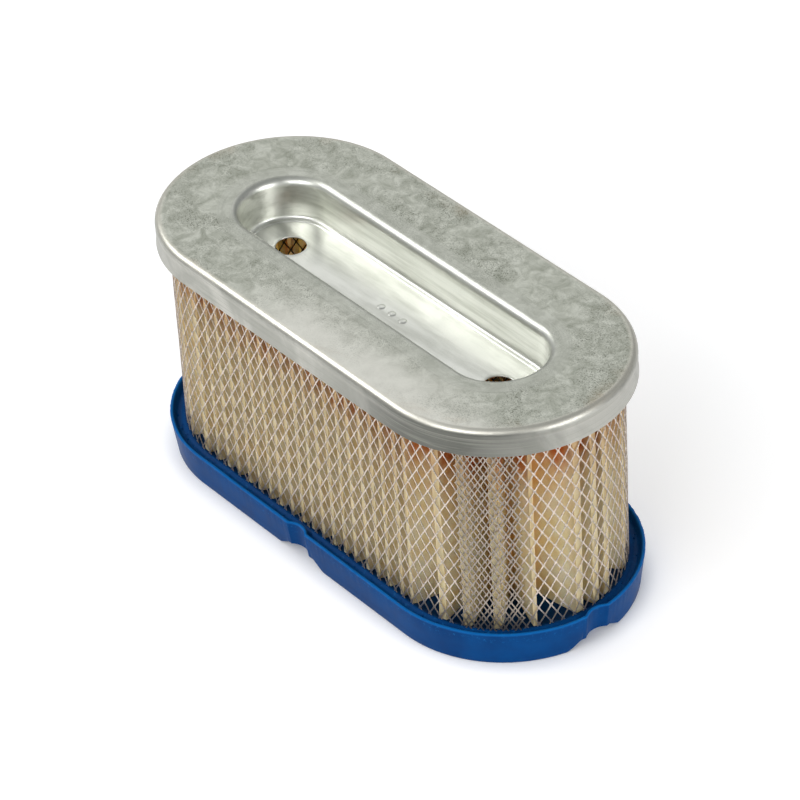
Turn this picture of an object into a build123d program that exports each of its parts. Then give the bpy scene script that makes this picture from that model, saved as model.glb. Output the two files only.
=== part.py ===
from build123d import *
from math import atan, cos, degrees, pi, radians, sin
import os

# Oval air-filter cartridge: a pleated paper loop between two expanded-metal screens, bonded into a
# pressed steel pan at the top and a moulded polyurethane seal at the foot.
# The origin is the centre of the seal's underside, +X runs along the oval and +Z up. Millimetres.
# Every oval is a pair of half circles about the same two centres, joined by straight sides.

# Oval
half_straight = 44.0  # each end centre's distance from the middle

# Pressed steel pan
pan_radius = 36.0
overall_height = 76.5
sheet = 0.6
skirt_height = 7.8
shoulder_bend = 2.0  # outside radius between the flat and the skirt
trough_depth = 12.5
trough_lip_radius = 13.2  # oval radius of the trough's wall where it meets the flat
trough_draft = 0.4  # how much less that radius is at the floor
lip_bend = 1.8
floor_bend = 1.2
panel_margin = 1.6  # trough floor left round the panel that is pressed down in it
panel_drop = 0.25
stud_inset = 0.5  # from each end's centre towards the middle
stud_hole_radius = 4.3
stud_hole_edge = 0.2

# Adhesive pool in the pan
potting_depth = 3.0
set_in_potting = 1.5

# Expanded-metal screens
screen_thickness = 0.5
skirt_gap = 2.55  # between the outer screen and the skirt
trough_gap = 1.95  # between the trough's wall and the inner screen
lap_start = 29.0  # degrees round the +X end, counted from the -Y side
lap_end = 55.5

# Pleated paper
paper = 0.45
pleat_pitch_target = 4.65  # along the inner folds
fold_width = 0.9
pack_clearance = 0.15  # between the folds and each screen
seam_angle = 63.0  # degrees round the +X end, counted from the -Y side
seam_glue = 0.3

# Polyurethane seal
seal_overhang = 1.1  # beyond the pan, at the top of the rim
seal_draft = 1.4  # how much less the oval radius is at the underside
rim_height = 11.0
rim_wall = 1.6
tray_height = 8.6  # top of the poured body, below the rim
set_in_seal = 3.0
outlet_wall = 1.55  # between the outlet and the inner screen
underside_bend = 0.8
notch_width = 7.4
notch_depth = 1.5
relief_length = 20.0  # hollow in the underside below each notch
relief_flat = 9.0
relief_height = 3.0
relief_reach = 5.0
groove_width = 3.0
groove_depth = 1.2

# Levels
floor_height = overall_height - trough_depth
panel_height = floor_height - panel_drop
pan_underside = overall_height - sheet
skirt_foot = overall_height - skirt_height
potting_foot = pan_underside - potting_depth
pack_foot = tray_height - set_in_seal
pack_height = potting_foot + set_in_potting - pack_foot

# Oval radii, from the outside in
seal_radius = pan_radius + seal_overhang
notch_radius = (notch_width**2 / 4 + notch_depth**2) / (2 * notch_depth)
notch_centre = seal_radius - notch_depth + notch_radius
outer_screen_radius = pan_radius - sheet - skirt_gap
outer_fold_radius = outer_screen_radius - screen_thickness - pack_clearance - paper / 2
trough_floor_radius = trough_lip_radius - trough_draft
panel_radius = trough_floor_radius - panel_margin
inner_screen_bore = trough_lip_radius + sheet + trough_gap
inner_fold_radius = inner_screen_bore + screen_thickness + pack_clearance + paper / 2
groove_radius = (outer_screen_radius + inner_screen_bore) / 2
outlet_radius = inner_screen_bore - outlet_wall

# Pleats
inner_loop = 4 * half_straight + 2 * pi * inner_fold_radius
pleat_count = round(inner_loop / pleat_pitch_target)
pleat_pitch = inner_loop / pleat_count


def oval(radius):
    return SlotCenterToCenter(2 * half_straight, 2 * radius)


def oval_ring(outer, inner):
    oval(outer)
    SlotCenterToCenter(2 * half_straight, 2 * inner, mode=Mode.SUBTRACT)


def around_the_oval(section):
    # A section's x is the distance from an end's centre and its y is the height. It is pushed along
    # each straight side and turned round the end that the side runs into.
    for side in (1, -1):
        end_centre = (side * half_straight, 0, 0)
        where_side_meets_end = Plane(end_centre, x_dir=(0, -side, 0), z_dir=(-side, 0, 0))
        placed = section.moved(where_side_meets_end.location)
        extrude(placed, amount=2 * half_straight)
        revolve(placed, axis=Axis(end_centre, (0, 0, 1)), revolution_arc=180)


def beside_line(line, distance):
    # The line moved to its left: each corner goes to where its two moved runs meet.
    runs = [(end - start).normalized() for start, end in zip(line, line[1:])]
    moved = []
    for point, before, after in zip(line, runs[:1] + runs, runs + runs[-1:]):
        middle = (before + after).normalized()
        across = Vector(-middle.Y, middle.X)
        moved.append(point + across * (distance / across.dot(Vector(-before.Y, before.X))))
    return moved


# Pan: flat, skirt and trough pressed from one sheet
upper_corners = [
    Vector(panel_radius, floor_height),
    Vector(trough_floor_radius, floor_height),
    Vector(trough_lip_radius, overall_height),
    Vector(pan_radius, overall_height),
    Vector(pan_radius, skirt_foot),
]
upper_bends = [floor_bend, lip_bend, shoulder_bend]
lower_bends = [floor_bend + sheet, lip_bend - sheet, shoulder_bend - sheet]

with BuildSketch() as pan_section:
    with BuildLine():
        upper_face = FilletPolyline(*upper_corners, radius=upper_bends)
        lower_face = FilletPolyline(*beside_line(upper_corners, -sheet), radius=lower_bends)
        Line(upper_face @ 0, lower_face @ 0)
        Line(upper_face @ 1, lower_face @ 1)
    make_face()

with BuildPart() as top_pan:
    around_the_oval(pan_section.sketch)
    with BuildSketch(Plane.XY.offset(panel_height - sheet)):
        oval(panel_radius + sheet)
    extrude(amount=sheet)
    with Locations(Plane.XY.offset(panel_height)):
        with GridLocations(2 * (half_straight - stud_inset), 1, 2, 1):
            Hole(radius=stud_hole_radius)
    hole_rims = top_pan.edges(Select.LAST).filter_by(GeomType.CIRCLE).group_by(Axis.Z)[-1]
    fillet(hole_rims, radius=stud_hole_edge)
top_pan.part.label = "top_pan"


# Paper: one strip folded to and fro, its two ends glued face to face at the seam
def place_on_loop(along, radius):
    # The point and the direction of travel at a distance along the inner folds from the seam.
    end_arc = pi * inner_fold_radius
    distance = (radians(seam_angle) * inner_fold_radius + along) % inner_loop
    side = 1
    if distance >= inner_loop / 2:
        distance -= inner_loop / 2
        side = -1
    turn = min(distance / inner_fold_radius, pi)
    past_the_end = max(distance - end_arc, 0)
    point = Vector(half_straight + radius * sin(turn) - past_the_end, -radius * cos(turn))
    travel = Vector(cos(turn), sin(turn))
    return point * side, travel * side


def beside(along, radius, sideways):
    point, travel = place_on_loop(along, radius)
    return point + travel * sideways


half_fold = fold_width / 2
half_seam = (seam_glue + paper) / 2
strip = [beside(0, outer_fold_radius, half_seam), beside(0, inner_fold_radius, half_seam)]
for pleat in range(1, pleat_count):
    crest = pleat * pleat_pitch
    strip.append(beside(crest - pleat_pitch / 2, inner_fold_radius, half_fold))
    strip.append(beside(crest, outer_fold_radius, -half_fold))
    strip.append(beside(crest, outer_fold_radius, half_fold))
    strip.append(beside(crest + pleat_pitch / 2, inner_fold_radius, -half_fold))
strip.append(beside(0, inner_fold_radius, -half_seam))
strip.append(beside(0, outer_fold_radius, -half_seam))

with BuildPart() as pleat_pack:
    with BuildSketch(Plane.XY.offset(pack_foot)):
        with BuildLine():
            one_face = beside_line(strip, paper / 2)
            other_face = beside_line(strip, -paper / 2)
            Polyline(*one_face, *reversed(other_face), close=True)
        make_face()
    extrude(amount=pack_height)
pleat_pack.part.label = "pleat_pack"

with BuildPart() as pleat_seam:
    seam_turn = radians(seam_angle)
    seam_plane = Plane(
        (half_straight, 0, pack_foot), x_dir=(sin(seam_turn), -cos(seam_turn), 0), z_dir=(0, 0, 1)
    )
    with BuildSketch(seam_plane):
        with Locations(((outer_fold_radius + inner_fold_radius) / 2, 0)):
            Rectangle(outer_fold_radius - inner_fold_radius, seam_glue)
    extrude(amount=pack_height)
pleat_seam.part.label = "pleat_seam"

# Screens: each is an oval wall as thick as the expanded sheet; the outer one laps over itself
with BuildPart() as outer_screen:
    with BuildSketch(Plane.XY.offset(pack_foot)):
        oval_ring(outer_screen_radius, outer_screen_radius - screen_thickness)
        with BuildLine():
            lap_arc = (lap_start - 90, lap_end - lap_start)
            lap_back = CenterArc((half_straight, 0), outer_screen_radius, *lap_arc)
            lap_front = CenterArc((half_straight, 0), outer_screen_radius + screen_thickness, *lap_arc)
            Line(lap_back @ 0, lap_front @ 0)
            Line(lap_back @ 1, lap_front @ 1)
        make_face()
    extrude(amount=pack_height)
outer_screen.part.label = "outer_screen"

with BuildPart() as inner_screen:
    with BuildSketch(Plane.XY.offset(pack_foot)):
        oval_ring(inner_screen_bore + screen_thickness, inner_screen_bore)
    extrude(amount=pack_height)
inner_screen.part.label = "inner_screen"

set_in = [pleat_pack, pleat_seam, outer_screen, inner_screen]

# Adhesive pool: fills the pan under its flat, from the trough's bend to the skirt
with BuildPart() as top_potting:
    with BuildSketch(Plane.XY.offset(potting_foot)):
        oval_ring(pan_radius - sheet, trough_lip_radius + lip_bend)
    extrude(amount=potting_depth)
    rim_of_pool = top_potting.faces().sort_by(Axis.Z)[-1].outer_wire().edges()
    fillet(rim_of_pool, radius=shoulder_bend - sheet)
    for piece in set_in:
        add(piece.part, mode=Mode.SUBTRACT)
top_potting.part.label = "top_potting"

# Seal: one polyurethane pour with a thin upstanding rim, notched at the four quarters
notch_places = [(0, -notch_centre), (0, notch_centre)]
notch_places += [(-half_straight - notch_centre, 0), (half_straight + notch_centre, 0)]

with BuildPart() as base_seal:
    with BuildSketch():
        oval(seal_radius - seal_draft)
    with BuildSketch(Plane.XY.offset(rim_height)):
        oval(seal_radius)
    loft()
    fillet(base_seal.faces().sort_by(Axis.Z)[0].edges(), radius=underside_bend)
    with BuildSketch(Plane.XY.offset(tray_height)):
        oval(seal_radius - rim_wall)
        with Locations(*notch_places):
            Circle(notch_radius + rim_wall, mode=Mode.SUBTRACT)
    extrude(amount=rim_height - tray_height, mode=Mode.SUBTRACT)
    with BuildSketch():
        with Locations(*notch_places):
            Circle(notch_radius)
    extrude(amount=rim_height, mode=Mode.SUBTRACT)
    with BuildSketch():
        oval(outlet_radius)
    extrude(amount=rim_height, mode=Mode.SUBTRACT)
    with BuildSketch():
        oval_ring(groove_radius + groove_width / 2, groove_radius - groove_width / 2)
    extrude(amount=groove_depth, mode=Mode.SUBTRACT)
    relief_slope = degrees(atan(2 * relief_height / (relief_length - relief_flat)))
    relief_start = seal_radius - relief_reach
    for facing, out_to_seal in ((-90, 0), (90, 0), (0, half_straight), (180, half_straight)):
        outward = Vector(cos(radians(facing)), sin(radians(facing)))
        across = Vector(-outward.Y, outward.X)
        with BuildSketch(Plane(outward * (out_to_seal + relief_start), x_dir=across, z_dir=outward)):
            Trapezoid(relief_length, relief_height, relief_slope, align=(Align.CENTER, Align.MIN))
        extrude(amount=relief_reach, mode=Mode.SUBTRACT)
    for piece in set_in:
        add(piece.part, mode=Mode.SUBTRACT)
base_seal.part.label = "base_seal"

os.makedirs("parts", exist_ok=True)
for piece in [top_pan, top_potting, *set_in, base_seal]:
    export_step(piece.part, f"parts/{piece.part.label}.step")
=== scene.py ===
import math
from functools import partial

import bmesh
import bpy
from mathutils import Matrix, Quaternion, Vector, noise


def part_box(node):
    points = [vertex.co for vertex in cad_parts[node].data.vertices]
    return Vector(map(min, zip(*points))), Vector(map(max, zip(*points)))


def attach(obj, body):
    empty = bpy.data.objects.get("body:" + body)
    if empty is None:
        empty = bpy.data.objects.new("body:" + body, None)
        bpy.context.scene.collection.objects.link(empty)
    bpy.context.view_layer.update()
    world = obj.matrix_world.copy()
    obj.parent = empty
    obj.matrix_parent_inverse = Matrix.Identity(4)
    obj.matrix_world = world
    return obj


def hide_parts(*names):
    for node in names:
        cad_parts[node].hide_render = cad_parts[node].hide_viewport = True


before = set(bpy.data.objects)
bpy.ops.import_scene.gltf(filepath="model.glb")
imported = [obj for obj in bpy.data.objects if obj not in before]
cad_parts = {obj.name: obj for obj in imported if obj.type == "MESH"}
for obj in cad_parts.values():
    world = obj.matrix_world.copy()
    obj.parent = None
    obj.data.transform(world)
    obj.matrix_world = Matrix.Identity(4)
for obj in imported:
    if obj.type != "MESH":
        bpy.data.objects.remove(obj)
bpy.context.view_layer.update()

mm = 0.001

# Oval air filter cartridge. Every piece runs round the same oval: half circles about the centres
# (+-halfStraight, 0) joined by straight sides. A place on it is (along, outward, height).
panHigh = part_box("top_pan")[1]
sealLow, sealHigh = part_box("base_seal")
paperLow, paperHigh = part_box("pleat_pack")

halfStraight = panHigh.x - panHigh.y
panRadius = panHigh.y
sealRadius = sealHigh.y
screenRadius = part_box("outer_screen")[1].y  # its outside, away from its lap
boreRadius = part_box("inner_screen")[1].y  # the inner screen's outside


def linearColour(hexColour):
    # sRGB hex to the linear values that a shader wants
    parts = [int(hexColour[i:i + 2], 16) / 255 for i in (0, 2, 4)]
    linear = [c / 12.92 if c <= 0.04045 else ((c + 0.055) / 1.055) ** 2.4 for c in parts]
    return (*linear, 1.0)


def feedInputs(node, inputs):
    # Inputs are a tuple in the order of the node's sockets, or a dictionary by socket. Each is a
    # value, a hex colour or the output that feeds the socket.
    for socket, value in inputs.items() if isinstance(inputs, dict) else enumerate(inputs):
        if isinstance(value, bpy.types.NodeSocket):
            node.id_data.links.new(value, node.inputs[socket])
        else:
            node.inputs[socket].default_value = linearColour(value) if isinstance(value, str) else value


def addNodeTo(tree, kind, inputs=(), output=0, **settings):
    # Adds a node and returns one of its outputs, or all of them if output is None. A kind is a
    # node's type, or its type and settings. Settings are the node's own properties. What builds a
    # tree calls this as addNode, with the tree filled in.
    kind, ownSettings = (kind, {}) if isinstance(kind, str) else kind
    node = tree.nodes.new(kind)
    for name, value in {**ownSettings, **settings}.items():
        setattr(node, name, value)
    feedInputs(node, inputs)
    return node.outputs if output is None else node.outputs[output]


# kinds of node
mathNode, vectorNode = "ShaderNodeMath", "ShaderNodeVectorMath"
add, subtract, multiply, multiplyAdd, divide, modulo, above, larger, smaller = [
    (mathNode, {"operation": operation}) for operation in (
        "ADD", "SUBTRACT", "MULTIPLY", "MULTIPLY_ADD", "DIVIDE", "FLOORED_MODULO", "GREATER_THAN",
        "MAXIMUM", "MINIMUM")]
joinNode, splitNode = "ShaderNodeCombineXYZ", "ShaderNodeSeparateXYZ"
noiseNode = "ShaderNodeTexNoise"
rangeNode = "ShaderNodeMapRange"  # inputs in order: value, from min, from max, to min, to max
softRange = (rangeNode, {"interpolation_type": "SMOOTHSTEP"})
mixNode = "ShaderNodeMix"  # inputs 0 factor, 2 and 3 values
colourMix = (mixNode, {"data_type": "RGBA"})  # inputs 0 factor, 6 and 7 colours; output 2


def perMetre(sizeInMm):
    # a texture's scale from the real size of its grain
    return 1.0 / (sizeInMm * mm)


def inMetres(lengths):
    return [length * mm for length in lengths]


def startMaterial(name):
    material = bpy.data.materials.new(name)
    material.use_nodes = True
    addNode = partial(addNodeTo, material.node_tree)
    place = addNode("ShaderNodeTexCoord", output="Object")
    return material, addNode, material.node_tree.nodes["Principled BSDF"], place


def ovalPlace(addNode, place):
    # a point's distance from the oval's centre line, and its separate coordinates
    apart = addNode(splitNode, (place,), None)
    along = addNode(mathNode, (apart["X"],), operation="ABSOLUTE")
    past = addNode(subtract, (along, halfStraight))
    past = addNode(larger, (past, 0.0))
    across = addNode(joinNode, (past, apart["Y"]))
    return addNode(vectorNode, (across,), "Value", operation="LENGTH"), apart


# ---- where things lie on the oval

def ovalStation(radius, along):
    # (centre x, outward normal) at a distance along, from the middle of the -Y side towards +X
    half = 2 * halfStraight + math.pi * radius
    distance = along % (2 * half)
    side = -1 if distance >= half else 1
    distance %= half
    turn = min(max((distance - halfStraight) / radius, 0), math.pi)
    pastEnd = max(distance - halfStraight - math.pi * radius, 0)
    centreX = min(distance, halfStraight) - pastEnd
    return centreX * side, Vector((math.sin(turn), -math.cos(turn), 0)) * side


def ovalLength(radius):
    return 4 * halfStraight + 2 * math.pi * radius


def sweepSection(bm, section, stations, bend):
    # Puts the section's points (radius, height) at every station, bent by bend(radius, height,
    # station), and joins them into quads.
    rings = []
    for station in stations:
        centreX, normal = station
        ring = []
        for radius, height in section:
            radius, height = bend(radius, height, station)
            ring.append(bm.verts.new((centreX + normal.x * radius, normal.y * radius, height)))
        rings.append(ring)
    for ring, following in zip(rings, rings[1:] + rings[:1]):
        for i in range(len(section) - 1):
            bm.faces.new((ring[i], following[i], following[i + 1], ring[i + 1]))
    return rings


def roundedLine(corners, closed=False):
    # corners: (x, y, bend radius, points in the bend); a radius of 0 keeps the corner sharp
    points = []
    last = len(corners) - 1
    for i, (x, y, bendRadius, steps) in enumerate(corners):
        if bendRadius == 0 or (not closed and i in (0, last)):
            points.append((x, y))
            continue
        corner = Vector((x, y))
        before = (Vector(corners[i - 1][:2]) - corner).normalized()
        after = (Vector(corners[(i + 1) % len(corners)][:2]) - corner).normalized()
        halfAngle = before.angle(after) / 2
        centre = corner + (before + after).normalized() * (bendRadius / math.sin(halfAngle))
        first = corner + before * (bendRadius / math.tan(halfAngle)) - centre
        final = corner + after * (bendRadius / math.tan(halfAngle)) - centre
        sweep = first.angle_signed(final)
        for k in range(steps + 1):
            turned = Vector(first)
            turned.rotate(Matrix.Rotation(-sweep * k / steps, 2))
            points.append(tuple(centre + turned))
    return points


def linkObject(name, data):
    thing = bpy.data.objects.new(name, data)
    bpy.context.scene.collection.objects.link(thing)
    return thing


def pieceFromBmesh(name, bm):
    mesh = bpy.data.meshes.new(name)
    bm.to_mesh(mesh)
    bm.free()
    return linkObject(name, mesh)


def joinInto(bm, piece):
    # adds a piece's mesh to bm and removes the piece
    bm.from_mesh(piece.data)
    bpy.data.objects.remove(piece)


def applyModifiers(piece):
    # turns the evaluated piece into its own plain mesh
    graph = bpy.context.evaluated_depsgraph_get()
    mesh = bpy.data.meshes.new_from_object(piece.evaluated_get(graph))
    piece.modifiers.clear()
    piece.data = mesh
    return piece


def finishPiece(piece, material, nodes, sharpDegrees):
    piece.data.materials.clear()
    piece.data.materials.append(material)
    for polygon in piece.data.polygons:
        polygon.use_smooth = True
        polygon.material_index = 0
    piece.data.set_sharp_from_angle(angle=math.radians(sharpDegrees))
    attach(piece, "root")
    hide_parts(*nodes)


# ---- materials

def galvanisedSteel():
    # Galvanised mild steel sheet, pressed and drawn. The flat is dull and cloudy with freckles of
    # oxide; the drawn trough is burnished bright; dies left fine lines round the lip and the skirt.
    look = {
        "flat": "CDCFC4", "cloud": "A7AA9D", "freckle": "74776B", "oxide": "A28A68", "lighterFront": "E6E5DC",
        "drawn": "E5E6E0", "galled": "BABCB3", "ironed": "C2C4BA", "dieLine": "94968C",
        "shoulderHighlightTone": "E8E5D9", "skirt": "A4A49D", "skirtPale": "BFBEB7", "skirtDull": "5E5F5A",
        "cloudSize": 4.5, "freckleSize": 0.38, "stainSize": 24.0, "lineSize": 0.4, "streakSize": 2.2,
        "grainDepth": 0.04, "lighterFrontWander": 12.0,
        # where regions start and end in mm: by x or y, and by radius from zero, the lip or the edge
        "lighterFrontY": (-24.0, -10.0), "lighterFrontX": (-30.0, 5.0), "skirtShadeX": (15.0, 50.0),
        "skirtShadeY": (-30.0, -5.0), "brownedOut": (30.0, 34.5), "drawnOut": (-0.3, 2.6),
        "ironedOut": (5.2, 6.6), "shoulderHighlightOut": (-2.4, -1.3), "skirtOut": (-0.7, -0.1),
    }
    material, addNode, shader, place = startMaterial("galvanisedSteel")
    radius, apart = ovalPlace(addNode, place)
    fromLip = addNode(subtract, (radius, pan["lipRadius"] * mm))
    fromEdge = addNode(subtract, (radius, panRadius))
    slow = addNode(multiply, (apart["X"], 0.02))
    ringwise = addNode(joinNode, (radius, apart["Z"], slow))
    level = addNode(vectorNode, (place, (0.05, 0.35, 1.0)), operation="MULTIPLY")
    cloud, freckle, stain, dieLines, streaks = [addNode(noiseNode, {
        "Vector": vector, "Scale": perMetre(look[size]), "Detail": detail, "Roughness": roughness,
        "Distortion": distortion}) for vector, size, detail, roughness, distortion in (
            (place, "cloudSize", 6.0, 0.72, 0.7), (place, "freckleSize", 3.0, 0.7, 0.0),
            (place, "stainSize", 4.0, 0.6, 1.0), (ringwise, "lineSize", 3.0, 0.6, 0.0),
            (level, "streakSize", 4.0, 0.6, 0.0))]
    cloudy = addNode(rangeNode, (cloud, 0.36, 0.62))

    # the front of the flat is lighter, with a wandering edge, fading out towards its left end
    lighterFront = addNode(multiplyAdd, (stain, look["lighterFrontWander"] * mm, apart["Y"]))
    lighterFront = addNode(rangeNode, (lighterFront, *inMetres(look["lighterFrontY"]), 0.8, 0.0))
    rightwards = addNode(softRange, (apart["X"], *inMetres(look["lighterFrontX"])))
    lighterFront = addNode(multiply, (lighterFront, rightwards))
    speckle = addNode(rangeNode, (freckle, 0.50, 0.62))
    dirty = addNode(rangeNode, (stain, 0.42, 0.60, 0.08, 0.85))
    awayFromLighterFront = addNode(subtract, (1.0, lighterFront))
    for factor in (dirty, awayFromLighterFront):
        speckle = addNode(multiply, (speckle, factor))
    nearEdge = addNode(rangeNode, (radius, *inMetres(look["brownedOut"]), 0.0, 1.6))
    browned = addNode(rangeNode, (stain, 0.54, 0.72, 0.0, 0.30))
    browned = addNode(multiply, (browned, nearEdge), use_clamp=True)

    # die marks: from the lip out to the ring that the blank holder left, and down the skirt
    ironed = addNode(softRange, (fromLip, *inMetres(look["ironedOut"]), 0.45, 0.0))
    skirt = addNode(rangeNode, (fromEdge, *inMetres(look["skirtOut"])))
    # the shoulder is painted lighter: a painted highlight that widens the bright band along its bend
    shoulderHighlight = addNode(rangeNode, (fromEdge, *inMetres(look["shoulderHighlightOut"]), 0.0, 0.7))
    lined = addNode(larger, (ironed, skirt))
    lines = addNode(rangeNode, (dieLines, 0.50, 0.66, 0.0, 0.55))
    lines = addNode(multiply, (lines, lined))
    worn = addNode(rangeNode, (stain, 0.42, 0.58))
    # the skirt's front right is painted darker: a painted shade for the darker reflection it shows there
    farRight = addNode(softRange, (apart["X"], *inMetres(look["skirtShadeX"])))
    skirtShade = addNode(rangeNode, (apart["Y"], *inMetres(look["skirtShadeY"]), 0.9, 0.2))
    skirtShade = addNode(multiply, (skirtShade, farRight))
    skirtTone = look["skirt"]
    for factor, tone in ((worn, "skirtPale"), (skirtShade, "skirtDull")):
        skirtTone = addNode(colourMix, {0: factor, 6: skirtTone, 7: look[tone]}, 2)

    # the die dragged greyer streaks along the trough
    drawn = addNode(softRange, (fromLip, *inMetres(look["drawnOut"]), 0.88, 0.0))
    streaked = addNode(rangeNode, (streaks, 0.44, 0.66, 0.0, 0.75))
    drawnTone = addNode(colourMix, {0: streaked, 6: look["drawn"], 7: look["galled"]}, 2)
    colour = look["cloud"]
    for factor, tone in (
            (cloudy, look["flat"]), (lighterFront, look["lighterFront"]), (speckle, look["freckle"]),
            (browned, look["oxide"]), (ironed, look["ironed"]), (shoulderHighlight, look["shoulderHighlightTone"]),
            (skirt, skirtTone), (lines, look["dieLine"]), (drawn, drawnTone)):
        colour = addNode(colourMix, {0: factor, 6: colour, 7: tone}, 2)

    roughness = addNode(rangeNode, (cloud, 0.3, 0.7, 0.46, 0.36))
    for factor, change in ((drawn, -0.07), (speckle, 0.12)):
        roughness = addNode(multiplyAdd, (factor, change, roughness))
    grain = addNode(multiply, (dieLines, lined))
    grain = addNode(multiplyAdd, (freckle, 0.5, grain))
    bump = addNode("ShaderNodeBump", {
        "Height": grain, "Strength": 0.25, "Distance": look["grainDepth"] * mm})
    feedInputs(shader, {"Base Color": colour, "Metallic": 1.0, "Roughness": roughness, "Normal": bump})
    return material


def zincPlatedScreen():
    # Expanded mild steel, zinc plated after slitting: bright thin strands, duller where they were cut.
    look = {"strand": "D8CCC2", "cut": "A3988E", "lapped": "837A70", "grainSize": 0.6,
            "lappedX": (57.5, 60.5), "lappedY": (-18.0, -16.0)}
    material, addNode, shader, place = startMaterial("zincPlatedScreen")
    grain = addNode(noiseNode, {"Vector": place, "Scale": perMetre(look["grainSize"]), "Detail": 3.0})
    worn = addNode(rangeNode, (grain, 0.35, 0.6))
    # darker over the lap, at the front right
    apart = addNode(splitNode, (place,), None)
    lapped = addNode(rangeNode, (apart["X"], *inMetres(look["lappedX"]), 0.0, 0.65))
    frontOnly = addNode(rangeNode, (apart["Y"], *inMetres(look["lappedY"]), 1.0, 0.0))
    lapped = addNode(multiply, (lapped, frontOnly))
    colour = look["cut"]
    for factor, tone in ((worn, "strand"), (lapped, "lapped")):
        colour = addNode(colourMix, {0: factor, 6: colour, 7: look[tone]}, 2)
    roughness = addNode(rangeNode, (worn, 0.0, 1.0, 0.55, 0.36))
    feedInputs(shader, {"Base Color": colour, "Metallic": 0.85, "Roughness": roughness})
    return material


def shadedInnerScreen():
    # Expanded mild steel coloured dark brown, a painted shade for the shadow it stands in inside the pack:
    # the inner screen reads as a dark net.
    look = {"strand": "5A4C40", "cut": "33291F", "grainSize": 0.8}
    material, addNode, shader, place = startMaterial("shadedInnerScreen")
    grain = addNode(noiseNode, {"Vector": place, "Scale": perMetre(look["grainSize"]), "Detail": 3.0})
    worn = addNode(rangeNode, (grain, 0.35, 0.6))
    colour = addNode(colourMix, {0: worn, 6: look["cut"], 7: look["strand"]}, 2)
    feedInputs(shader, {"Base Color": colour, "Metallic": 1.0, "Roughness": 0.5})
    return material


def filterPaper():
    # Phenolic-treated cellulose, thin enough to let light through: matt cream with fine fibres,
    # blotched where the resin cured darker, and orange brown where the adhesive soaked down into it.
    look = {
        "paper": "FAEAC6", "resin": "F2D5A2", "fibre": "D6B280", "crestShadeTone": "BFAC86", "stain": "C4682A",
        "blush": "DD9C5E", "bore": "EBAC5E", "fibreSize": 0.4, "blotchSize": 6.0, "waveSize": 4.0,
        "waveHeight": 16.0, "stainHeight": (52.0, 63.0), "blushHeight": (34.0, 62.0),
        "joinedEndX": (5.0, 45.0), "boreGlowOut": (1.0, 5.0), "offScreen": (-4.0, -1.0),
        "bumpDepth": 0.05, "glowDepth": 1.8,
    }
    material, addNode, shader, place = startMaterial("filterPaper")
    radius, apart = ovalPlace(addNode, place)
    blotch, fibre, wave = [addNode(noiseNode, {
        "Vector": place, "Scale": perMetre(look[size]), "Detail": detail, "Roughness": roughness})
        for size, detail, roughness in (
            ("blotchSize", 4.0, 0.5), ("fibreSize", 3.0, 0.65), ("waveSize", 3.0, 0.5))]
    cured = addNode(rangeNode, (blotch, 0.36, 0.60))
    fibrous = addNode(rangeNode, (fibre, 0.50, 0.75, 0.0, 0.5))
    centred = addNode(subtract, (wave, 0.5))
    ragged = addNode(multiplyAdd, (centred, look["waveHeight"] * mm, apart["Z"]))
    blushed, soaked = [addNode(softRange, (ragged, *inMetres(look[band]), 0.0, most))
                       for band, most in (("blushHeight", 0.6), ("stainHeight", 1.0))]
    # most of the blush is at the end where the pack was joined
    joinedEnd = addNode(rangeNode, (apart["X"], *inMetres(look["joinedEndX"]), 0.3, 1.0))
    blushed = addNode(multiply, (blushed, joinedEnd))
    # the folds next to the inner screen are painted orange: a painted glow of light coming through the paper
    fromBore = addNode(subtract, (radius, boreRadius))
    boreGlow = addNode(rangeNode, (fromBore, *inMetres(look["boreGlowOut"]), 0.6, 0.0))
    # and the crests next to the outer screen are painted darker: a painted shade that tones down the light
    # they catch
    fromScreen = addNode(subtract, (radius, screenRadius))
    shadedCrest = addNode(rangeNode, (fromScreen, *inMetres(look["offScreen"]), 0.0, 0.75))
    colour = look["resin"]
    for factor, tone in ((cured, "paper"), (fibrous, "fibre"), (blushed, "blush"), (soaked, "stain"),
                         (boreGlow, "bore"), (shadedCrest, "crestShadeTone")):
        colour = addNode(colourMix, {0: factor, 6: colour, 7: look[tone]}, 2)
    bump = addNode("ShaderNodeBump", {
        "Height": fibre, "Strength": 0.4, "Distance": look["bumpDepth"] * mm})
    feedInputs(shader, {
        "Base Color": colour, "Roughness": 0.85, "Specular IOR Level": 0.25, "Normal": bump,
        "Subsurface Weight": 0.8, "Subsurface Radius": (1.0, 0.8, 0.5),
        "Subsurface Scale": look["glowDepth"] * mm})
    return material


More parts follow.
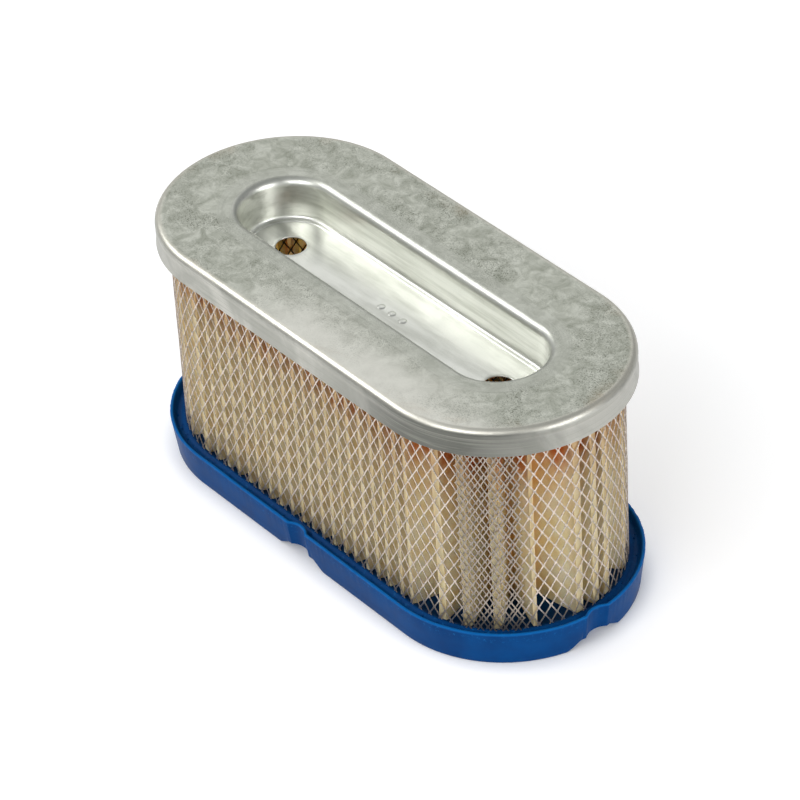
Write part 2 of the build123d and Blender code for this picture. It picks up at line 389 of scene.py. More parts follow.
def bluePolyurethane():
    # Soft polyurethane poured in an open mould: deep blue, satin where it met the mould, with
    # pinholes and paler froth where air rose to the open face.
    look = {
        "body": "01407A", "deep": "01376D", "froth": "1F78BE", "rimHighlightTone": "0E6AB6", "shade": "010E20",
        "frothSize": 0.9, "cloudSize": 8.0, "pinholeSize": 1.6, "openHeight": (7.0, 9.0),
        "rimHighlightHeight": (10.2, 10.9), "offScreen": (-1.5, 0.5), "pitDepth": 0.1,
    }
    material, addNode, shader, place = startMaterial("bluePolyurethane")
    radius, apart = ovalPlace(addNode, place)
    cloud, froth = [addNode(noiseNode, {
        "Vector": place, "Scale": perMetre(look[size]), "Detail": 4.0, "Roughness": roughness})
        for size, roughness in (("cloudSize", 0.5), ("frothSize", 0.7))]
    clouded = addNode(rangeNode, (cloud, 0.35, 0.62))
    openFace = addNode(rangeNode, (apart["Z"], *inMetres(look["openHeight"])))
    froth = addNode(rangeNode, (froth, 0.57, 0.72, 0.0, 0.5))
    froth = addNode(multiply, (froth, openFace))
    # the rim's top edge is painted paler: a painted highlight along it
    rimHighlight = addNode(rangeNode, (apart["Z"], *inMetres(look["rimHighlightHeight"]), 0.0, 0.75))
    # between the pleats it is painted nearly black: painted shade
    fromScreen = addNode(subtract, (radius, screenRadius))
    pleatShade = addNode(rangeNode, (fromScreen, *inMetres(look["offScreen"]), 0.88, 0.0))
    pleatShade = addNode(multiply, (pleatShade, openFace))
    colour = look["deep"]
    for factor, tone in ((clouded, "body"), (froth, "froth"), (rimHighlight, "rimHighlightTone"), (pleatShade, "shade")):
        colour = addNode(colourMix, {0: factor, 6: colour, 7: look[tone]}, 2)
    roughness = addNode(rangeNode, (cloud, 0.3, 0.7, 0.34, 0.46))
    pinholes = addNode("ShaderNodeTexVoronoi", {
        "Vector": place, "Scale": perMetre(look["pinholeSize"])}, "Distance")
    pits = addNode(rangeNode, (pinholes, 0.0, 0.16))
    bump = addNode("ShaderNodeBump", {
        "Height": pits, "Strength": 0.15, "Distance": look["pitDepth"] * mm})
    feedInputs(shader, {
        "Base Color": colour, "Roughness": roughness, "Specular IOR Level": 0.05, "Normal": bump})
    return material


def curedPlastisol():
    # Plastisol cured in the pan: opaque brown orange, dull, with a slightly wavy skin.
    look = {"body": "8A4B22", "pale": "A96A36", "cloudSize": 5.0, "waveDepth": 0.3}
    material, addNode, shader, place = startMaterial("curedPlastisol")
    cloud = addNode(noiseNode, {"Vector": place, "Scale": perMetre(look["cloudSize"]), "Detail": 4.0})
    clouded = addNode(rangeNode, (cloud, 0.35, 0.65))
    colour = addNode(colourMix, {0: clouded, 6: look["body"], 7: look["pale"]}, 2)
    bump = addNode("ShaderNodeBump", {
        "Height": cloud, "Strength": 0.3, "Distance": look["waveDepth"] * mm})
    feedInputs(shader, {"Base Color": colour, "Roughness": 0.55, "Normal": bump})
    return material


# ---- camera, floor and light

cameraSetup = {"stand": (0.70087, -0.53424, 0.69888), "aim": (0.00157, -0.00028, 0.03611),
               "rollDegrees": -3.471, "lens": 183.96}


def setCamera():
    data = bpy.data.cameras.new("camera")
    data.lens = cameraSetup["lens"]
    data.clip_start = 0.05
    data.clip_end = 20
    camera = linkObject("camera", data)
    bpy.context.scene.camera = camera
    looking = Vector(cameraSetup["aim"]) - Vector(cameraSetup["stand"])
    roll = Quaternion((0, 0, 1), math.radians(cameraSetup["rollDegrees"]))
    camera.rotation_mode = "QUATERNION"
    camera.rotation_quaternion = looking.to_track_quat("-Z", "Y") @ roll
    camera.location = cameraSetup["stand"]


surround = {
    "floor": "F7F7F7", "floorRadius": 6.0, "floorGlow": 0.36, "glowUnderPart": 0.08,
    "glowFades": (-3.0, 4.0), "sky": "F4F6F8", "skyStrength": 0.36, "softboxAim": (0, 0, 0.04),
}

# daylight that comes up through the outlet and lights the bore
boreLamps = {"along": (-0.040, -0.018), "height": 0.030, "ballRadius": 0.006, "watts": 0.008}

softboxes = {
    # place in metres, size, watts
    "left": ((-0.80, -0.42, 0.85), (0.8, 0.45), 4.4),
    "front": ((0.25, -0.80, 0.70), (0.8, 0.45), 4.9),
    "back": ((-0.85, 0.75, 0.95), (1.2, 0.9), 2.4),
    "right": ((1.1, 0.15, 0.42), (0.6, 0.6), 5.6),
}


def layFloor():
    bm = bmesh.new()
    bmesh.ops.create_circle(bm, cap_ends=True, segments=96, radius=surround["floorRadius"])
    floor = pieceFromBmesh("floor", bm)
    material, addNode, shader, place = startMaterial("whiteBackdrop")
    # the glow fades out under and round the part: a painted contact shadow on the floor, which also keeps
    # its real contact shadow dark
    fromSeal = addNode(subtract, (ovalPlace(addNode, place)[0], sealRadius))
    glow = addNode(softRange, (
        fromSeal, *inMetres(surround["glowFades"]), surround["glowUnderPart"], surround["floorGlow"]))
    feedInputs(shader, {
        "Base Color": surround["floor"], "Roughness": 0.9, "Emission Color": surround["floor"],
        "Emission Strength": glow})
    floor.data.materials.append(material)
    floor.location.z = sealLow.z


def lightBore():
    data = bpy.data.lights.new("boreLamp", "POINT")
    data.energy = boreLamps["watts"]
    data.shadow_soft_size = boreLamps["ballRadius"]
    for along in boreLamps["along"]:
        lamp = linkObject("boreLamp", data)
        lamp.location = (along, 0, boreLamps["height"])
        lamp.visible_camera = False
        lamp.visible_glossy = False


def hangSoftbox(name, place, size, watts):
    data = bpy.data.lights.new(name, "AREA")
    data.shape = "RECTANGLE"
    data.size, data.size_y = size
    data.energy = watts
    lamp = linkObject(name, data)
    lamp.location = place
    lamp.rotation_mode = "QUATERNION"
    lamp.rotation_quaternion = (Vector(surround["softboxAim"]) - Vector(place)).to_track_quat("-Z", "Y")


setCamera()
layFloor()
lightBore()
for name, softbox in softboxes.items():
    hangSoftbox(name, *softbox)
world = bpy.data.worlds.new("studio")
bpy.context.scene.world = world
world.use_nodes = True
feedInputs(world.node_tree.nodes["Background"], {
    "Color": surround["sky"], "Strength": surround["skyStrength"]})
bpy.context.scene.view_settings.view_transform = "Standard"
print("camera, floor and lights set")


# ---- pan

pan = {
    "sheet": 0.6, "skirtHeight": 7.8, "shoulderBend": 2.0, "troughDepth": 12.5, "lipRadius": 13.2,
    "draft": 0.4, "lipBend": 2.5, "floorBend": 1.2, "panelMargin": 1.6, "panelDrop": 0.25,
    "panelBend": 0.25, "studInset": 0.5, "studHoleRadius": 4.3, "ringOffset": 3.7, "ringStep": 0.10,
    "ripple": 0.05, "rippleSize": 16.0, "skirtBand": 0.2, "step": 1.2, "dotRadius": 1.1, "dotHeight": 0.22,
    "dotSpacing": 4.5, "ringPoints": 48, "flatPoints": 14,
    # drawing leaves the skirt wavy in section, and flared where it was cut off: (outward, down)
    "skirtWave": ((-0.06, 2.3), (-0.16, 2.7), (-0.13, 3.3), (-0.02, 4.1), (-0.06, 5.3), (0.01, 6.3),
                  (0.04, 7.1)),
    "skirtFlare": 0.14,
    # the edge turned down round a stud hole: (beyond its radius, lift)
    "turnedEdge": ((1.4, 0), (1.1, 0), (0.7, 0.01), (0.45, 0.10), (0.25, 0.13), (0.08, 0.04),
                   (0, -0.12), (0, -0.35)),
}
steelMaterial = galvanisedSteel()


def panSection():
    top = panHigh.z / mm
    floorHeight = top - pan["troughDepth"]
    wallFoot = pan["lipRadius"] - pan["draft"]
    panel = wallFoot - pan["panelMargin"]
    bend = pan["panelBend"]
    flatStart = pan["lipRadius"] + pan["lipBend"]
    edge = panRadius / mm
    flatEnd = edge - pan["shoulderBend"]
    ring = flatStart + pan["ringOffset"]
    ringEnd = ring + 0.5
    ironed = top - pan["ringStep"]  # the band inside the ring was pressed down a little
    points = roundedLine([
        (panel - 2 * bend, floorHeight - pan["panelDrop"], 0, 0),
        (panel, floorHeight - pan["panelDrop"], bend, 3),
        (panel + bend, floorHeight, bend, 3),
        (wallFoot, floorHeight, pan["floorBend"], 10),
        (pan["lipRadius"], ironed, pan["lipBend"], 14),
        (flatStart + 1.1, ironed, 0, 0), (flatStart + 2.2, ironed, 0, 0),
        (ring - 0.5, ironed, 0, 0),
    ])
    points += [
        (ring - 0.2, ironed + 0.01), (ring, ironed + 0.04), (ring + 0.2, top - 0.02), (ringEnd, top)]
    steps = pan["flatPoints"]
    points += [(ringEnd + (flatEnd - ringEnd) * i / steps, top) for i in range(1, steps)]
    points += roundedLine([
        (flatEnd - 0.2, top, 0, 0), (edge, top, pan["shoulderBend"], 14), (edge, top - 2.2, 0, 0)])[1:-1]
    skirt = (*pan["skirtWave"], (pan["skirtFlare"], pan["skirtHeight"]))
    points += [(edge + outward, top - down) for outward, down in skirt]
    return [(radius * mm, height * mm) for radius, height in points]


def panRipple(radius, height, station):
    # pressed sheet is never quite flat: the flat and the skirt wander by a few hundredths
    centreX, normal = station
    spot = Vector((centreX + normal.x * radius, normal.y * radius, height))
    wander = noise.noise(spot * perMetre(pan["rippleSize"])) * pan["ripple"] * mm
    if radius < (pan["lipRadius"] + pan["lipBend"]) * mm:
        return radius, height
    if radius > panRadius - pan["skirtBand"] * mm:
        return radius + wander, height
    return radius, height + min(wander, 0)


def addRings(bm, centre, profile):
    # lathes (radius, lift) pairs in mm about a vertical axis, the outermost ring first
    count = pan["ringPoints"]
    turns = [2 * math.pi * k / count for k in range(count)]
    rings = [[bm.verts.new(centre + Vector((math.cos(turn) * radius, math.sin(turn) * radius, lift)) * mm)
              for turn in turns] for radius, lift in profile]
    for outer, inner in zip(rings, rings[1:]):
        for k in range(count):
            bm.faces.new((outer[k - 1], outer[k], inner[k], inner[k - 1]))
    return rings


def makePan():
    bm = bmesh.new()
    count = round(ovalLength(panRadius) / (pan["step"] * mm))
    stations = [ovalStation(panRadius, ovalLength(panRadius) * i / count) for i in range(count)]
    rings = sweepSection(bm, panSection(), stations, panRipple)
    # the floor panel has a turned-down edge round each stud hole and three punched dots
    panelEdge = [ring[0] for ring in rings]
    panelHeight = panelEdge[0].co.z
    openEdges = [bm.edges.get(pair) for pair in zip(panelEdge, panelEdge[1:] + panelEdge[:1])]
    turnedEdge = [(pan["studHoleRadius"] + beyond, lift) for beyond, lift in pan["turnedEdge"]]
    dot = pan["dotRadius"]
    dome = [(dot + 0.4, 0), (dot + 0.15, 0), (dot, 0.02)] + [
        (dot * math.cos(t), pan["dotHeight"] * math.sin(t)) for t in (0.4, 0.75, 1.1, 1.4)]
    features = [(side * (halfStraight - pan["studInset"] * mm), turnedEdge) for side in (-1, 1)]
    features += [(k * pan["dotSpacing"] * mm, dome) for k in (-1, 0, 1)]
    for x, profile in features:
        lathed = addRings(bm, Vector((x, 0, panelHeight)), profile)
        openEdges += [bm.edges.get((lathed[0][k - 1], lathed[0][k])) for k in range(len(lathed[0]))]
        if profile is dome:
            bm.faces.new(lathed[-1])
    bmesh.ops.triangle_fill(bm, use_beauty=True, use_dissolve=False, edges=openEdges, normal=(0, 0, 1))
    bmesh.ops.recalc_face_normals(bm, faces=bm.faces)
    if sum(face.normal.z * face.calc_area() for face in bm.faces) < 0:
        bmesh.ops.reverse_faces(bm, faces=bm.faces)
    piece = pieceFromBmesh("topPan", bm)
    wall = piece.modifiers.new("sheet", "SOLIDIFY")
    wall.thickness = pan["sheet"] * mm
    wall.offset = -1
    wall.use_even_offset = True
    applyModifiers(piece)
    finishPiece(piece, steelMaterial, ["top_pan"], 50)


makePan()
print("pan pressed")


# ---- Geometry Nodes shared by what runs round the oval

ovalSockets = ("Half Straight", "End Radius")


def startTree(name, sockets):
    # sockets: a kind to the names of the inputs of that kind
    tree = bpy.data.node_groups.new(name, "GeometryNodeTree")
    tree.interface.new_socket("Geometry", in_out="OUTPUT", socket_type="NodeSocketGeometry")
    for kind, socketNames in sockets.items():
        for socketName in socketNames:
            tree.interface.new_socket(socketName, in_out="INPUT", socket_type="NodeSocket" + kind)
    addNode = partial(addNodeTo, tree)
    return tree, addNode, addNode("NodeGroupInput", output=None)


def wrapRoundOval():
    # A node group: flat points (x = along, y = outward, z = height) are wrapped round the oval
    # whose ends have the radius that `along` was measured at.
    group, addNode, given = startTree("wrapRoundOval", {"Geometry": ("Geometry",), "Float": ovalSockets})
    flat = addNode("GeometryNodeInputPosition")
    flat = addNode(splitNode, (flat,), None)
    straight, radius = given["Half Straight"], given["End Radius"]
    endArc = addNode(multiply, (radius, math.pi))
    half = addNode(multiplyAdd, (straight, 2.0, endArc))
    loop = addNode(multiply, (half, 2.0))
    around = addNode(modulo, (flat["X"], loop))
    second = addNode(above, (around, half))
    side = addNode(multiplyAdd, (second, -2.0, 1.0))
    distance = addNode(multiply, (second, half))
    distance = addNode(subtract, (around, distance))
    pastStraight = addNode(subtract, (distance, straight))
    turn = pastStraight
    for kind, value in ((divide, radius), (larger, 0.0), (smaller, math.pi)):
        turn = addNode(kind, (turn, value))
    pastEnd = addNode(subtract, (pastStraight, endArc))
    pastEnd = addNode(larger, (pastEnd, 0.0))
    centre = addNode(smaller, (distance, straight))
    centre = addNode(subtract, (centre, pastEnd))
    reach = addNode(add, (radius, flat["Y"]))
    sine = addNode(mathNode, (turn,), operation="SINE")
    cosine = addNode(mathNode, (turn,), operation="COSINE")
    x = addNode(multiplyAdd, (sine, reach, centre))
    x = addNode(multiply, (x, side))
    y = cosine
    for factor in (reach, side, -1.0):
        y = addNode(multiply, (y, factor))
    wrapped = addNode(joinNode, (x, y, flat["Z"]))
    moved = addNode("GeometryNodeSetPosition", {"Geometry": given["Geometry"], "Position": wrapped})
    addNode("NodeGroupOutput", (moved,), None)
    return group


wrapGroup = wrapRoundOval()


def wrapOnOval(addNode, given, geometry):
    return addNode("GeometryNodeGroup", {
        "Geometry": geometry, **{name: given[name] for name in ovalSockets}}, node_tree=wrapGroup)


def endTree(addNode, given, geometry):
    # every tree ends the same way: made real and given its material
    real = addNode("GeometryNodeRealizeInstances", (geometry,))
    painted = addNode("GeometryNodeSetMaterial", {"Geometry": real, "Material": given["Material"]})
    addNode("NodeGroupOutput", (painted,), None)


def growPiece(name, tree, endRadius, material, values):
    # runs the tree on an empty piece and keeps the result as its plain mesh
    values = {"Half Straight": halfStraight, "End Radius": endRadius, "Material": material, **values}
    piece = pieceFromBmesh(name, bmesh.new())
    modifier = piece.modifiers.new("nodes", "NODES")
    modifier.node_group = tree
    for socket in tree.interface.items_tree:
        if socket.in_out == "INPUT":
            modifier[socket.identifier] = values[socket.name]
    return applyModifiers(piece)


# ---- seal

seal = {
    "rimHeight": 11.0, "rimWall": 1.6, "trayHeight": 8.6, "draft": 1.4, "outletRadius": 14.2,
    "collarHeight": 9.3, "meniscus": 0.5, "undersideBend": 0.8,
    "grooveRadius": 24.3, "grooveWidth": 3.0, "grooveDepth": 1.2, "notchWidth": 7.4,
    "notchDepth": 1.5, "reliefLength": 20.0, "reliefFlat": 9.0, "reliefHeight": 3.0,
    "reliefReach": 5.0, "flash": 0.10, "flashSize": 1.1, "rimWave": 0.10, "rimWaveSize": 8.0,
    # the notches' push fades in from this far outside the screen, over this width
    "pushStart": 0.6, "pushWidth": 1.6, "reliefSquash": 0.2, "waveAbove": 1.2, "waveReach": 3.0,
    "flashReach": 0.9,
    "step": 0.6, "notchStep": 0.3, "nearRelief": 0.65, "bubbles": 420, "bubbleSize": (0.10, 0.34),
    "bubbleFoot": 0.3, "bubbleSpread": 2.6, "bubbleLift": 0.1, "bubbleSeed": 3,
}
sealMaterial = bluePolyurethane()


def sealSection():
    # a closed loop of points, starting at the foot of the outlet and running outwards underneath
    edge = sealRadius / mm
    foot = edge - seal["draft"]
    rimInside = edge - seal["rimWall"]
    tray = seal["trayHeight"]
    screenEdge = screenRadius / mm
    bore = boreRadius / mm
    groove, halfGroove = seal["grooveRadius"], seal["grooveWidth"] / 2
    depth = seal["grooveDepth"]
    reliefEdge = edge - seal["reliefReach"]
    points = roundedLine([
        (seal["outletRadius"], 0, 0.4, 3),
        (groove - halfGroove, 0, 0.25, 2), (groove - halfGroove, depth, 0.4, 3),
        (groove + halfGroove, depth, 0.4, 3), (groove + halfGroove, 0, 0.25, 2),
        (reliefEdge - 0.1, 0, 0, 0), (reliefEdge + 0.1, 0, 0, 0), (reliefEdge + 1.8, 0, 0, 0),
        (foot, 0, seal["undersideBend"], 5),
        (foot + 0.27 * seal["draft"], 3.0, 0, 0), (foot + 0.6 * seal["draft"], 6.5, 0, 0),
        (edge, seal["rimHeight"], 0.3, 4), (edge - 0.8, seal["rimHeight"], 0.4, 4),
        (rimInside - 0.3, tray, 0.9, 4), (screenEdge + 1.1, tray, 0.8, 3),
        (screenEdge, tray + seal["meniscus"], 0.6, 3), (screenEdge - 1.8, tray, 0.6, 3),
        ((screenEdge + bore) / 2, tray - 0.3, 0, 0), (bore + 1.4, tray, 0.6, 3),
        (bore + 0.2, seal["collarHeight"], 0.3, 2),
        (seal["outletRadius"], seal["collarHeight"], 0.6, 4),
    ], closed=True)
    return [(radius * mm, height * mm) for radius, height in points]


def notchDistance(station):
    # how far, in mm along the wall, a station is from the nearest of the four notches
    centreX, normal = station
    if abs(normal.x) < 1e-6:
        return abs(centreX) / mm
    return abs(math.asin(max(-1, min(1, normal.y)))) * sealRadius / mm


def bendSeal(radius, height, station):
    away = notchDistance(station)
    outward, up = radius / mm, height / mm
    # a notch pushes the whole wall inwards, rim and all
    halfWidth = seal["notchWidth"] / 2
    notchRadius = (halfWidth ** 2 + seal["notchDepth"] ** 2) / (2 * seal["notchDepth"])
    if away < halfWidth:
        push = math.sqrt(notchRadius ** 2 - away ** 2) - (notchRadius - seal["notchDepth"])
        share = min(max((outward - screenRadius / mm - seal["pushStart"]) / seal["pushWidth"], 0), 1)
        outward -= push * share * share * (3 - 2 * share)
    # the relief lifts the underside below it
    ramp = (seal["reliefLength"] - seal["reliefFlat"]) / 2
    lift = min(max((seal["reliefLength"] / 2 - away) / ramp, 0), 1) * seal["reliefHeight"]
    if radius > sealRadius - seal["reliefReach"] * mm and up < lift:
        up = lift + up / seal["reliefHeight"] * seal["reliefSquash"]
    # the poured rim waves a little and its trimmed edge is ragged
    wavesFrom = sealRadius - seal["waveReach"] * mm
    if height > (seal["trayHeight"] + seal["waveAbove"]) * mm and radius > wavesFrom:
        centreX, normal = station
        spot = Vector((centreX, 0, 0)) + normal * radius
        up += (noise.noise(spot * perMetre(seal["rimWaveSize"])) - 1) * seal["rimWave"]
        ragged = noise.noise(spot * perMetre(seal["flashSize"])) * seal["flash"]
        if radius > sealRadius - seal["flashReach"] * mm:
            up += ragged
            outward += ragged
    return outward * mm, up * mm


def bubbleTree():
    tree, addNode, given = startTree("bubbles", {
        "Int": ("Count", "Seed"), "Material": ("Material",),
        "Float": ("Loop", "Foot", "Spread", "Surface", "Smallest", "Largest", *ovalSockets)})
    index = addNode("GeometryNodeInputIndex")
    picks = []
    for offset in range(3):
        seed = addNode(add, (given["Seed"], float(offset)))
        picks.append(addNode("FunctionNodeRandomValue", {"ID": index, "Seed": seed}, 1))
    along = addNode(multiply, (picks[0], given["Loop"]))
    # most of them rose beside the screen
    away = addNode(mathNode, (picks[1], 2.0), operation="POWER")
    away = addNode(multiplyAdd, (away, given["Spread"], given["Foot"]))
    place = addNode(joinNode, (along, away, given["Surface"]))
    points = addNode("GeometryNodePoints", {"Count": given["Count"], "Position": place})
    size = addNode(mathNode, (picks[2], 3.0), operation="POWER")
    size = addNode(rangeNode, (size, 0.0, 1.0, given["Smallest"], given["Largest"]))
    ball = addNode("GeometryNodeMeshIcoSphere", {"Radius": 1.0, "Subdivisions": 2})
    # the points are wrapped before the bubbles are put on them, so bubbles stay round
    balls = addNode("GeometryNodeInstanceOnPoints", {
        "Points": wrapOnOval(addNode, given, points), "Instance": ball, "Scale": size})
    endTree(addNode, given, balls)
    return tree


def makeSeal():
    stations = []
    along = 0.0
    while along < ovalLength(sealRadius) - 0.2 * mm:
        stations.append(ovalStation(sealRadius, along))
        near = notchDistance(stations[-1]) < seal["reliefLength"] * seal["nearRelief"]
        along += (seal["notchStep"] if near else seal["step"]) * mm
    bm = bmesh.new()
    rings = sweepSection(bm, sealSection(), stations, bendSeal)
    for ring, following in zip(rings, rings[1:] + rings[:1]):
        bm.faces.new((ring[-1], following[-1], following[0], ring[0]))
    bmesh.ops.recalc_face_normals(bm, faces=bm.faces)
    smallest, largest = inMetres(seal["bubbleSize"])
    joinInto(bm, growPiece("bubbles", bubbleTree(), screenRadius, sealMaterial, {
        "Count": seal["bubbles"], "Loop": ovalLength(screenRadius), "Foot": seal["bubbleFoot"] * mm,
        "Spread": seal["bubbleSpread"] * mm, "Surface": (seal["trayHeight"] + seal["bubbleLift"]) * mm,
        "Smallest": smallest, "Largest": largest, "Seed": seal["bubbleSeed"]}))
    finishPiece(pieceFromBmesh("baseSeal", bm), sealMaterial, ["base_seal"], 35)


makeSeal()
print("seal poured")


# ---- expanded-metal screens

screen = {
    "cellWidth": 3.37, "cellHeight": 5.5, "strandWidth": 0.35, "bondWidth": 0.56, "thickness": 0.15,
    "tiltDegrees": 1.0, "wobble": 0.16, "wobbleSize": 9.0, "inset": 0.25, "lapStart": 60.5,
    "lapLength": 15.0, "lapOffset": 1.7, "lapRise": 0.5, "lapCellWidth": 3.22, "lapShift": 0.5,
    "sheetSeed": 1.0, "lapSeed": 5.0, "innerSeed": 2.0,
}
screenMaterial = zincPlatedScreen()
innerScreenMaterial = shadedInnerScreen()


def strandCell(width, height):
    # One cell of expanded metal: four strands from its middle to its corners. Each is a flat ribbon
    # sheared slightly out of the sheet's plane, narrow at mid length and wide where it bonds.
    bm = bmesh.new()
    shear = math.tan(math.radians(screen["tiltDegrees"]))
    halfThick = screen["thickness"] / 2
    # share of the strand's length, and which width it has there
    ribbons = ((-0.04, "bondWidth"), (0.16, "strandWidth"), (0.84, "strandWidth"), (1.04, "bondWidth"))
    for sideX in (-1, 1):
        for sideZ in (-1, 1):
            end = Vector((sideX * width / 2, 0, sideZ * height / 2))
            rings = []
            for share, ribbon in ribbons:
                # the ribbon's width is measured across the strand; along x it is wider
                halfWide = screen[ribbon] / 2 * end.length / abs(end.z)
                rings.append([bm.verts.new(end * share + Vector((
                    edgeX * halfWide, edgeX * halfWide * shear + edgeY * halfThick, 0)))
                    for edgeX, edgeY in ((-1, -1), (1, -1), (1, 1), (-1, 1))])
            for ring, following in zip(rings, rings[1:]):
                for k in range(4):
                    bm.faces.new((ring[k - 1], ring[k], following[k], following[k - 1]))
            bm.faces.new(rings[0])
            bm.faces.new(rings[-1])
    bmesh.ops.recalc_face_normals(bm, faces=bm.faces)
    bmesh.ops.scale(bm, vec=(mm, mm, mm), verts=bm.verts)
    return pieceFromBmesh("strandCell", bm)


def expandedMetalTree():
    tree, addNode, given = startTree("expandedMetal", {
        "Object": ("Cell",), "Int": ("Columns", "Rows"), "Material": ("Material",),
        "Float": ("Cell Width", "Cell Height", "Start", "Middle Height", "Rise", "Wobble",
                  "Wobble Scale", "Seed", *ovalSockets)})
    spans = []
    for number, cellSize in (("Columns", "Cell Width"), ("Rows", "Cell Height")):
        span = addNode(subtract, (given[number], 1.0))
        spans.append(addNode(multiply, (span, given[cellSize])))
    grid = addNode("GeometryNodeMeshGrid", {
        "Size X": spans[0], "Size Y": spans[1], "Vertices X": given["Columns"], "Vertices Y": given["Rows"]})
    middle = addNode(multiplyAdd, (spans[0], 0.5, given["Start"]))
    place = addNode(joinNode, (middle, given["Rise"], given["Middle Height"]))
    upright = addNode("GeometryNodeTransform", {
        "Geometry": grid, "Translation": place, "Rotation": (math.pi / 2, 0, 0)})
    cell = addNode("GeometryNodeObjectInfo", {"Object": given["Cell"]}, "Geometry")
    cells = addNode("GeometryNodeInstanceOnPoints", {"Points": upright, "Instance": cell})
    real = addNode("GeometryNodeRealizeInstances", (cells,))
    # the sheet was stretched on a machine, so its strands wander a little
    position = addNode("GeometryNodeInputPosition")
    wander = addNode(noiseNode, {
        "Vector": position, "W": given["Seed"], "Scale": given["Wobble Scale"], "Detail": 1.0},
        "Color", noise_dimensions="4D")
    wander = addNode(vectorNode, (wander, (-0.5, -0.5, -0.5)), operation="ADD")
    wander = addNode(vectorNode, {0: wander, "Scale": given["Wobble"]}, operation="SCALE")
    bent = addNode("GeometryNodeSetPosition", {"Geometry": real, "Offset": wander})
    endTree(addNode, given, wrapOnOval(addNode, given, bent))
    return tree


metalTree = expandedMetalTree()


def expandMetal(name, node, radius, columns, width, seed, start=0.0, rise=0.0, lift=0.0):
    low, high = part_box(node)
    height = screen["cellHeight"]
    cell = strandCell(width / mm, height)
    piece = growPiece(name, metalTree, radius, screenMaterial, {
        "Cell": cell, "Columns": columns, "Rows": math.floor((high.z - low.z) / (height * mm)),
        "Cell Width": width, "Cell Height": height * mm, "Start": start * mm,
        "Middle Height": (low.z + high.z) / 2 + lift * mm, "Rise": rise * mm,
        "Wobble": screen["wobble"] * mm, "Wobble Scale": perMetre(screen["wobbleSize"]), "Seed": seed})
    bpy.data.objects.remove(cell)
    return piece


def fullTurn(radius):
    # a radius and the number and width of the cells that fill its loop
    columns = round(ovalLength(radius) / (screen["cellWidth"] * mm))
    return radius, columns, ovalLength(radius) / columns


def makeScreens():
    radius = screenRadius - screen["inset"] * mm
    lapColumns = round(screen["lapLength"] / screen["lapCellWidth"])
    bm = bmesh.new()
    joinInto(bm, expandMetal(
        "sheet", "outer_screen", *fullTurn(radius), screen["sheetSeed"], screen["lapStart"]))
    joinInto(bm, expandMetal(
        "lap", "outer_screen", radius, lapColumns, screen["lapCellWidth"] * mm, screen["lapSeed"],
        screen["lapStart"] + screen["lapOffset"], screen["lapRise"], screen["lapShift"]))
    finishPiece(pieceFromBmesh("outerScreen", bm), screenMaterial, ["outer_screen"], 30)
    piece = expandMetal(
        "innerScreen", "inner_screen", *fullTurn(boreRadius - screen["inset"] * mm), screen["innerSeed"])
    finishPiece(piece, innerScreenMaterial, ["inner_screen"], 30)


makeScreens()
print("screens expanded")


# ---- pleated paper

pleats = {
    "thickness": 0.45, "foldWidth": 0.93, "pitch": 4.65, "boreGap": 0.35, "screenGap": 0.9,
    "seamDegrees": 63.0, "crestJitter": 0.45, "footJitter": 0.25, "waver": 0.5, "waverSize": 14.0,
    "leanBefore": 0.8, "leanAfter": 1.8, "seed": 2.0, "rows": 13, "seamNarrower": 0.6,
}
paperMaterial = filterPaper()


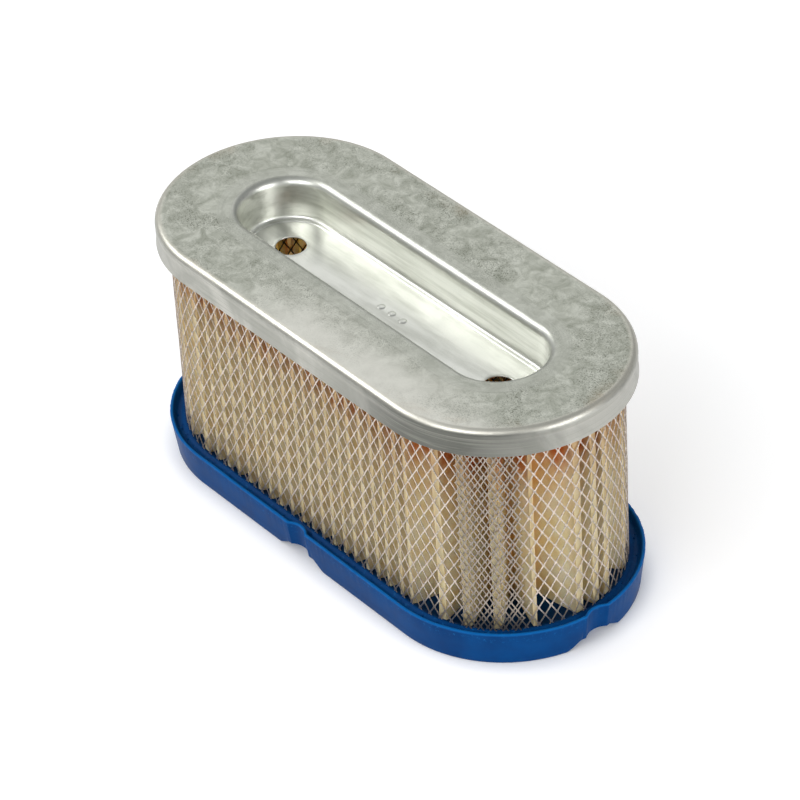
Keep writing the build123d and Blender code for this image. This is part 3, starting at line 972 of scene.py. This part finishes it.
def pleatTree():
    # A flat grid of columns, four to a pleat (crest left and right, valley left and right), is
    # folded by its column number. Pleat 0 is at the seam, and its neighbours lean away from it.
    tree, addNode, given = startTree("pleats", {
        "Int": ("Pleats",), "Material": ("Material",),
        "Float": ("Pitch", "Fold Width", "Depth", "Foot", "Top", "Seam", "Crest Jitter", "Valley Jitter",
                  "Waver", "Waver Scale", "Lean Before", "Lean After", "Seed", *ovalSockets)})
    columns = addNode(multiply, (given["Pleats"], 4.0))
    vertices = addNode(add, (columns, 1.0))
    grid = addNode("GeometryNodeMeshGrid", {
        "Size X": columns, "Size Y": 1.0, "Vertices X": vertices, "Vertices Y": pleats["rows"]})
    flat = addNode("GeometryNodeInputPosition")
    flat = addNode(splitNode, (flat,), None)
    column = addNode(multiplyAdd, (columns, 0.5, flat["X"]))
    column = addNode(mathNode, (column,), operation="ROUND")
    pleat = addNode(divide, (column, 4.0))
    pleat = addNode(mathNode, (pleat,), operation="FLOOR")
    corner = addNode(modulo, (column, 4.0))
    valley = addNode(above, (corner, 1.5))
    rightHand = addNode(modulo, (corner, 2.0))
    same = addNode(modulo, (pleat, given["Pleats"]))
    crest = addNode(subtract, (1.0, valley))
    seamCrest = addNode(mathNode, (same, 0.5), operation="LESS_THAN")
    seamCrest = addNode(multiply, (seamCrest, crest))
    # distance along: pleat + half a pitch in the valley + half the fold to either side
    fold = addNode(subtract, (rightHand, 0.5))
    narrow = addNode(multiplyAdd, (seamCrest, -pleats["seamNarrower"], 1.0))
    for factor in (given["Fold Width"], narrow):
        fold = addNode(multiply, (fold, factor))
    along = addNode(multiplyAdd, (valley, 0.5, pleat))
    along = addNode(multiplyAdd, (along, given["Pitch"], fold))
    # each fold has its own jitter, and the last column is the first one again
    key = addNode(joinNode, (same, valley, given["Seed"]))
    pick = addNode("ShaderNodeTexWhiteNoise", {"Vector": key}, "Value")
    jitter = addNode(subtract, (pick, 0.5))
    reach = addNode(mixNode, {0: valley, 2: given["Crest Jitter"], 3: given["Valley Jitter"]})
    for factor in (reach, 2.0):
        jitter = addNode(multiply, (jitter, factor))
    # and wavers up its height, each fold in its own part of the noise
    height = addNode(add, (flat["Y"], 0.5))
    height = addNode(rangeNode, (height, 0.0, 1.0, given["Foot"], given["Top"]))
    rise = addNode(multiply, (height, given["Waver Scale"]))
    rise = addNode(joinNode, (0.0, 0.0, rise))
    spot = addNode(joinNode, (same, valley))
    spot = addNode(vectorNode, {0: spot, "Scale": 7.31}, operation="SCALE")
    spot = addNode(vectorNode, (spot, rise), operation="ADD")
    waver = addNode(noiseNode, {"Vector": spot, "Scale": 1.0, "Detail": 1.0})
    waver = addNode(subtract, (waver, 0.5))
    jitter = addNode(multiplyAdd, (waver, given["Waver"], jitter))
    # the seam pleat stands straight
    offSeam = addNode(above, (same, 0.5))
    jitter = addNode(multiply, (jitter, offSeam))
    # crests next to the seam lean: one pushed off, the following ones drawn back
    halfway = addNode(multiply, (given["Pleats"], 0.5))
    before = addNode(above, (same, halfway))
    wrapBack = addNode(multiply, (before, given["Pleats"]))
    fromSeam = addNode(subtract, (same, wrapBack))
    lean = addNode(multiply, (fromSeam, math.pi / 2))
    lean = addNode(mathNode, (lean,), operation="SINE")
    near = addNode(mathNode, (fromSeam,), operation="ABSOLUTE")
    near = addNode(rangeNode, (near, 3.0, 4.0, 1.0, 0.0))
    strength = addNode(mixNode, {0: before, 2: given["Lean After"], 3: given["Lean Before"]})
    for factor in (near, strength, crest):
        lean = addNode(multiply, (lean, factor))
    for shift in (jitter, lean, given["Seam"]):
        along = addNode(add, (along, shift))
    outward = addNode(multiply, (crest, given["Depth"]))
    folded = addNode(joinNode, (along, outward, height))
    strip = addNode("GeometryNodeSetPosition", {"Geometry": grid, "Position": folded})
    endTree(addNode, given, wrapOnOval(addNode, given, strip))
    return tree


def makePaper():
    innerRadius = boreRadius + pleats["boreGap"] * mm
    outerRadius = screenRadius - pleats["screenGap"] * mm
    count = round(ovalLength(innerRadius) / (pleats["pitch"] * mm))
    piece = growPiece("pleatPack", pleatTree(), innerRadius, paperMaterial, {
        "Pleats": count, "Pitch": ovalLength(innerRadius) / count, "Fold Width": pleats["foldWidth"] * mm,
        "Depth": outerRadius - innerRadius, "Foot": paperLow.z, "Top": paperHigh.z,
        "Seam": halfStraight + innerRadius * math.radians(pleats["seamDegrees"]),
        "Crest Jitter": pleats["crestJitter"] * mm, "Valley Jitter": pleats["footJitter"] * mm,
        "Waver": pleats["waver"] * mm, "Waver Scale": perMetre(pleats["waverSize"]),
        "Lean Before": pleats["leanBefore"] * mm, "Lean After": pleats["leanAfter"] * mm,
        "Seed": pleats["seed"]})
    bm = bmesh.new()
    joinInto(bm, piece)
    bmesh.ops.remove_doubles(bm, verts=bm.verts, dist=0.01 * mm)
    bmesh.ops.recalc_face_normals(bm, faces=bm.faces)
    piece = pieceFromBmesh("pleatPack", bm)
    sheet = piece.modifiers.new("sheet", "SOLIDIFY")
    sheet.thickness = pleats["thickness"] * mm
    sheet.offset = 0
    applyModifiers(piece)
    finishPiece(piece, paperMaterial, ["pleat_pack"], 25)


makePaper()
print("paper pleated")


# ---- CAD nodes that stay as they are

def dressNode(name, material):
    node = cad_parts[name]
    node.data.materials.clear()
    node.data.materials.append(material)


dressNode("pleat_seam", paperMaterial)
dressNode("top_potting", curedPlastisol())
